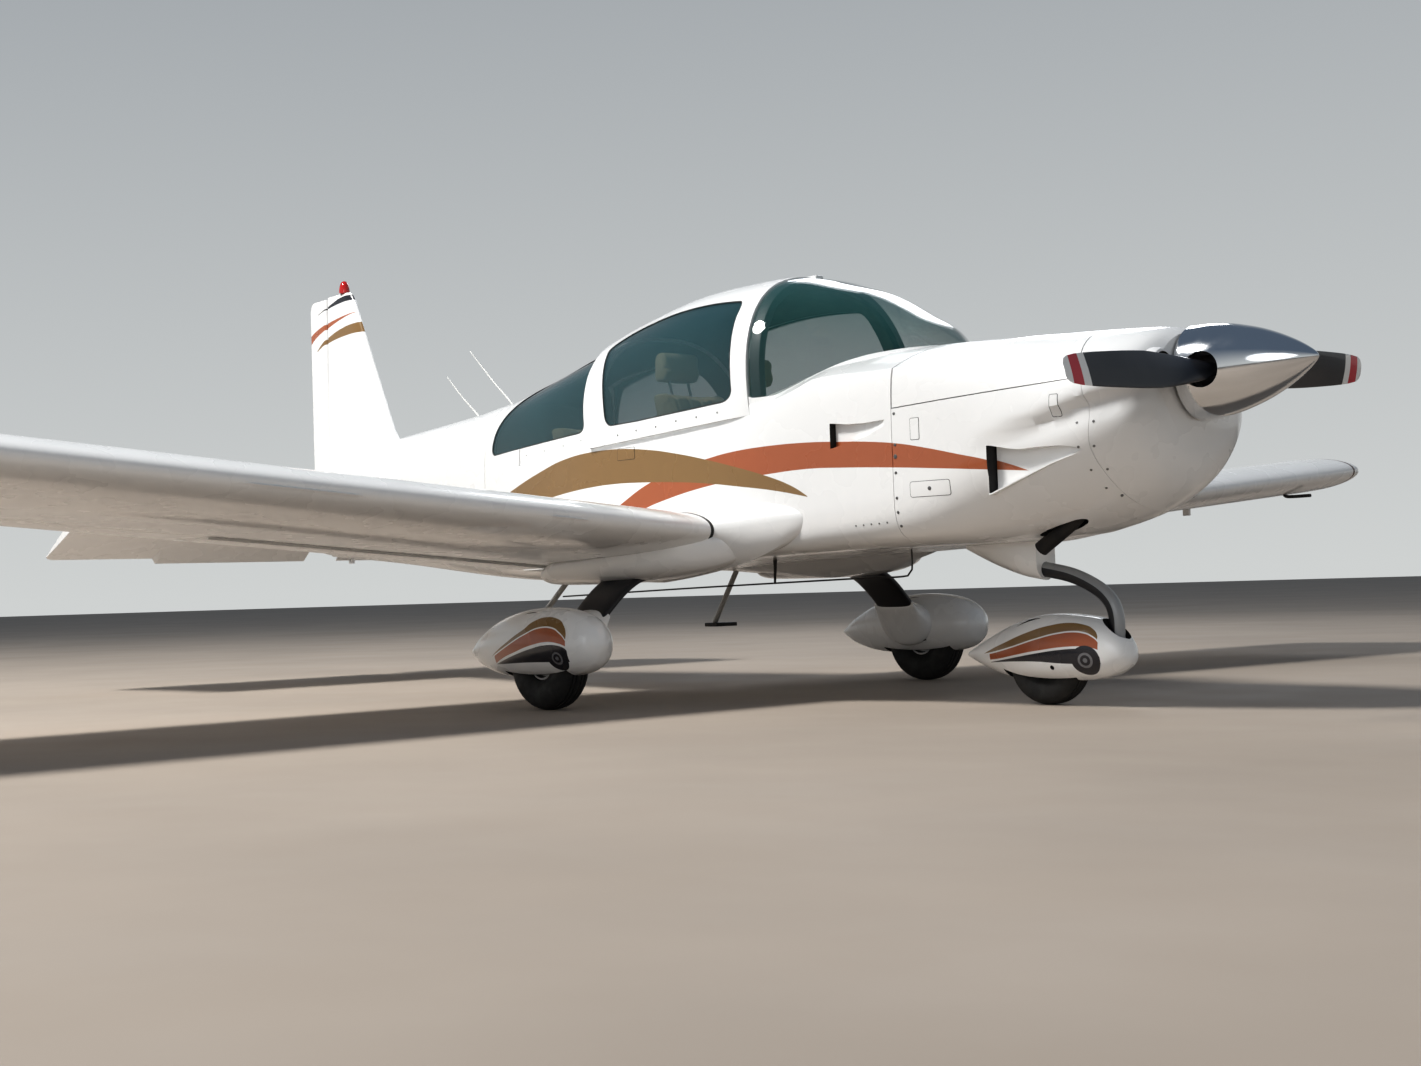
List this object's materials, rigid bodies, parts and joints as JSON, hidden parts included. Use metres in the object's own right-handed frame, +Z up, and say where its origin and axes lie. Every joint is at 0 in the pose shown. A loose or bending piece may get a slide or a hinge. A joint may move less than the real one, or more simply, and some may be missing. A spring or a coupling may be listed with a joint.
{
  "type": "light aircraft",
  "caption": "Low-wing single-engine touring aircraft with sliding canopy, fixed tricycle gear in wheel pants and upright tail.",
  "frame": {"origin": "on the ground, under the middle of the aircraft's overall length and span", "axes": "+X towards the nose, +Y to port, +Z up"},
  "size_m": [6.7058, 9.6, 2.4834],
  "materials": {
    "white_skin": "gloss white paint with curved gold, rust and black stripes over sheet metal",
    "white_hollow": "gloss white paint",
    "black_spring": "satin black paint",
    "tyre": "black rubber",
    "wheel_metal": "cast, satin",
    "strut_steel": "grey-white enamel over metal",
    "exhaust_steel": "heat-stained, sooty",
    "engine_iron": "dark cast metal",
    "blade_metal": "matte black with red and white tips",
    "polished_metal": "mirror polish",
    "tinted_glazing": "clear blue-green tint",
    "dark_trim": "matte black",
    "tan_upholstery": "tan leather over foam",
    "red_lens": "clear red"
  },
  "bodies": {
    "airframe": {"cabin_shell": "white_skin", "tail_cone": "white_skin", "fin": "white_hollow", "stabiliser_left": "white_hollow", "stabiliser_right": "white_hollow", "wing_left": "white_hollow", "wing_right": "white_hollow", "wing_root_left": "white_hollow", "wing_root_right": "white_hollow", "leg_fairing_left": "white_hollow", "leg_fairing_right": "white_hollow", "main_leg_left": "black_spring", "main_leg_right": "black_spring", "main_pant_left": "white_hollow", "main_pant_right": "white_hollow", "nose_strut": "strut_steel", "nose_bowl": "white_skin", "cowl_lower": "white_skin", "exhaust_pipe": "exhaust_steel", "engine_block": "engine_iron", "nose_leg_fairing": "white_hollow", "windscreen": "tinted_glazing", "windscreen_bow": "dark_trim", "rear_window_left": "tinted_glazing", "rear_window_right": "tinted_glazing", "seat_front_left": "tan_upholstery", "seat_front_right": "tan_upholstery", "seat_rear": "tan_upholstery", "instrument_panel": "dark_trim", "console": "dark_trim", "step_left": "strut_steel", "step_right": "strut_steel", "whip_antenna_front": "white_hollow", "whip_antenna_rear": "white_hollow", "belly_antenna": "dark_trim", "pitot_tube": "strut_steel", "beacon": "red_lens"},
    "propeller": {"propeller": "blade_metal", "spinner": "polished_metal"},
    "nose_fork": {"nose_fork": "strut_steel", "nose_pant": "white_hollow"},
    "nose_wheel": {"nose_wheel_tyre": "tyre", "nose_wheel_hub": "wheel_metal"},
    "main_wheel_left": {"main_wheel_left_tyre": "tyre", "main_wheel_left_hub": "wheel_metal"},
    "main_wheel_right": {"main_wheel_right_tyre": "tyre", "main_wheel_right_hub": "wheel_metal"},
    "canopy": {"canopy_frame": "white_hollow", "canopy_window_left": "tinted_glazing", "canopy_window_right": "tinted_glazing"},
    "flap_left": {"flap_left": "white_hollow"},
    "flap_right": {"flap_right": "white_hollow"},
    "aileron_left": {"aileron_left": "white_hollow"},
    "aileron_right": {"aileron_right": "white_hollow"},
    "elevator": {"elevator": "white_hollow"},
    "rudder": {"rudder": "white_hollow"},
    "cowl_lid_left": {"cowl_lid_left": "white_skin"},
    "cowl_lid_right": {"cowl_lid_right": "white_skin"},
    "baggage_door": {"baggage_door": "white_skin"}
  },
  "joints": [
    {"name": "propeller_spin", "type": "hinge", "parent": "airframe", "child": "propeller", "pos_m": [2.893, 0, 1.258], "axis": [0.9997, 0, 0.0262], "continuous": true},
    {"name": "nose_caster", "type": "hinge", "parent": "airframe", "child": "nose_fork", "pos_m": [2.491, 0, 0.3], "axis": [0, 0, 1], "range_deg": [-90, 90]},
    {"name": "nose_wheel_spin", "type": "hinge", "parent": "nose_fork", "child": "nose_wheel", "pos_m": [2.177, 0, 0.17], "axis": [0, 1, 0], "continuous": true},
    {"name": "main_wheel_left_spin", "type": "hinge", "parent": "airframe", "child": "main_wheel_left", "pos_m": [0.518, 1.245, 0.208], "axis": [0, 1, 0], "continuous": true},
    {"name": "main_wheel_right_spin", "type": "hinge", "parent": "airframe", "child": "main_wheel_right", "pos_m": [0.518, -1.245, 0.208], "axis": [0, 1, 0], "continuous": true},
    {"name": "canopy_slide", "type": "slide", "parent": "airframe", "child": "canopy", "axis": [-0.9983, 0, -0.0583], "range_m": [0, 0.6]},
    {"name": "flap_left_hinge", "type": "hinge", "parent": "airframe", "child": "flap_left", "pos_m": [-0.08219, 1.643, 0.70092], "axis": [0, -0.9965, -0.0837], "range_deg": [0, 45]},
    {"name": "flap_right_hinge", "type": "hinge", "parent": "airframe", "child": "flap_right", "pos_m": [-0.08219, -1.643, 0.70092], "axis": [0, -0.9965, 0.0837], "range_deg": [0, 45]},
    {"name": "aileron_left_hinge", "type": "hinge", "parent": "airframe", "child": "aileron_left", "pos_m": [-0.07345, 3.515, 0.9051], "axis": [0, -0.9965, -0.0837], "range_deg": [-20, 20]},
    {"name": "aileron_right_hinge", "type": "hinge", "parent": "airframe", "child": "aileron_right", "pos_m": [-0.07345, -3.515, 0.9051], "axis": [0, -0.9965, 0.0837], "range_deg": [-20, 20]},
    {"name": "elevator_hinge", "type": "hinge", "parent": "airframe", "child": "elevator", "pos_m": [-2.902, 0, 0.99], "axis": [0, 1, 0], "range_deg": [0, 50]},
    {"name": "rudder_hinge", "type": "hinge", "parent": "airframe", "child": "rudder", "pos_m": [-3.162, 0, 1.7], "axis": [0, 0, 1], "range_deg": [-25, 25]},
    {"name": "cowl_lid_left_hinge", "type": "hinge", "parent": "airframe", "child": "cowl_lid_left", "pos_m": [2.25, 0.03, 1.47225], "axis": [0.9982, 0, -0.0606], "range_deg": [0, 75]},
    {"name": "cowl_lid_right_hinge", "type": "hinge", "parent": "airframe", "child": "cowl_lid_right", "pos_m": [2.25, -0.03, 1.47225], "axis": [-0.9982, 0, 0.0606], "range_deg": [0, 75]},
    {"name": "baggage_door_hinge", "type": "hinge", "parent": "airframe", "child": "baggage_door", "pos_m": [-0.44, 0.5055, 0.96], "axis": [0, 0, -1], "range_deg": [0, 85]}
  ],
  "couplings": [
    {"joint": "flap_right_hinge", "follows": "flap_left_hinge", "ratio": 1},
    {"joint": "aileron_right_hinge", "follows": "aileron_left_hinge", "ratio": -1}
  ]
}
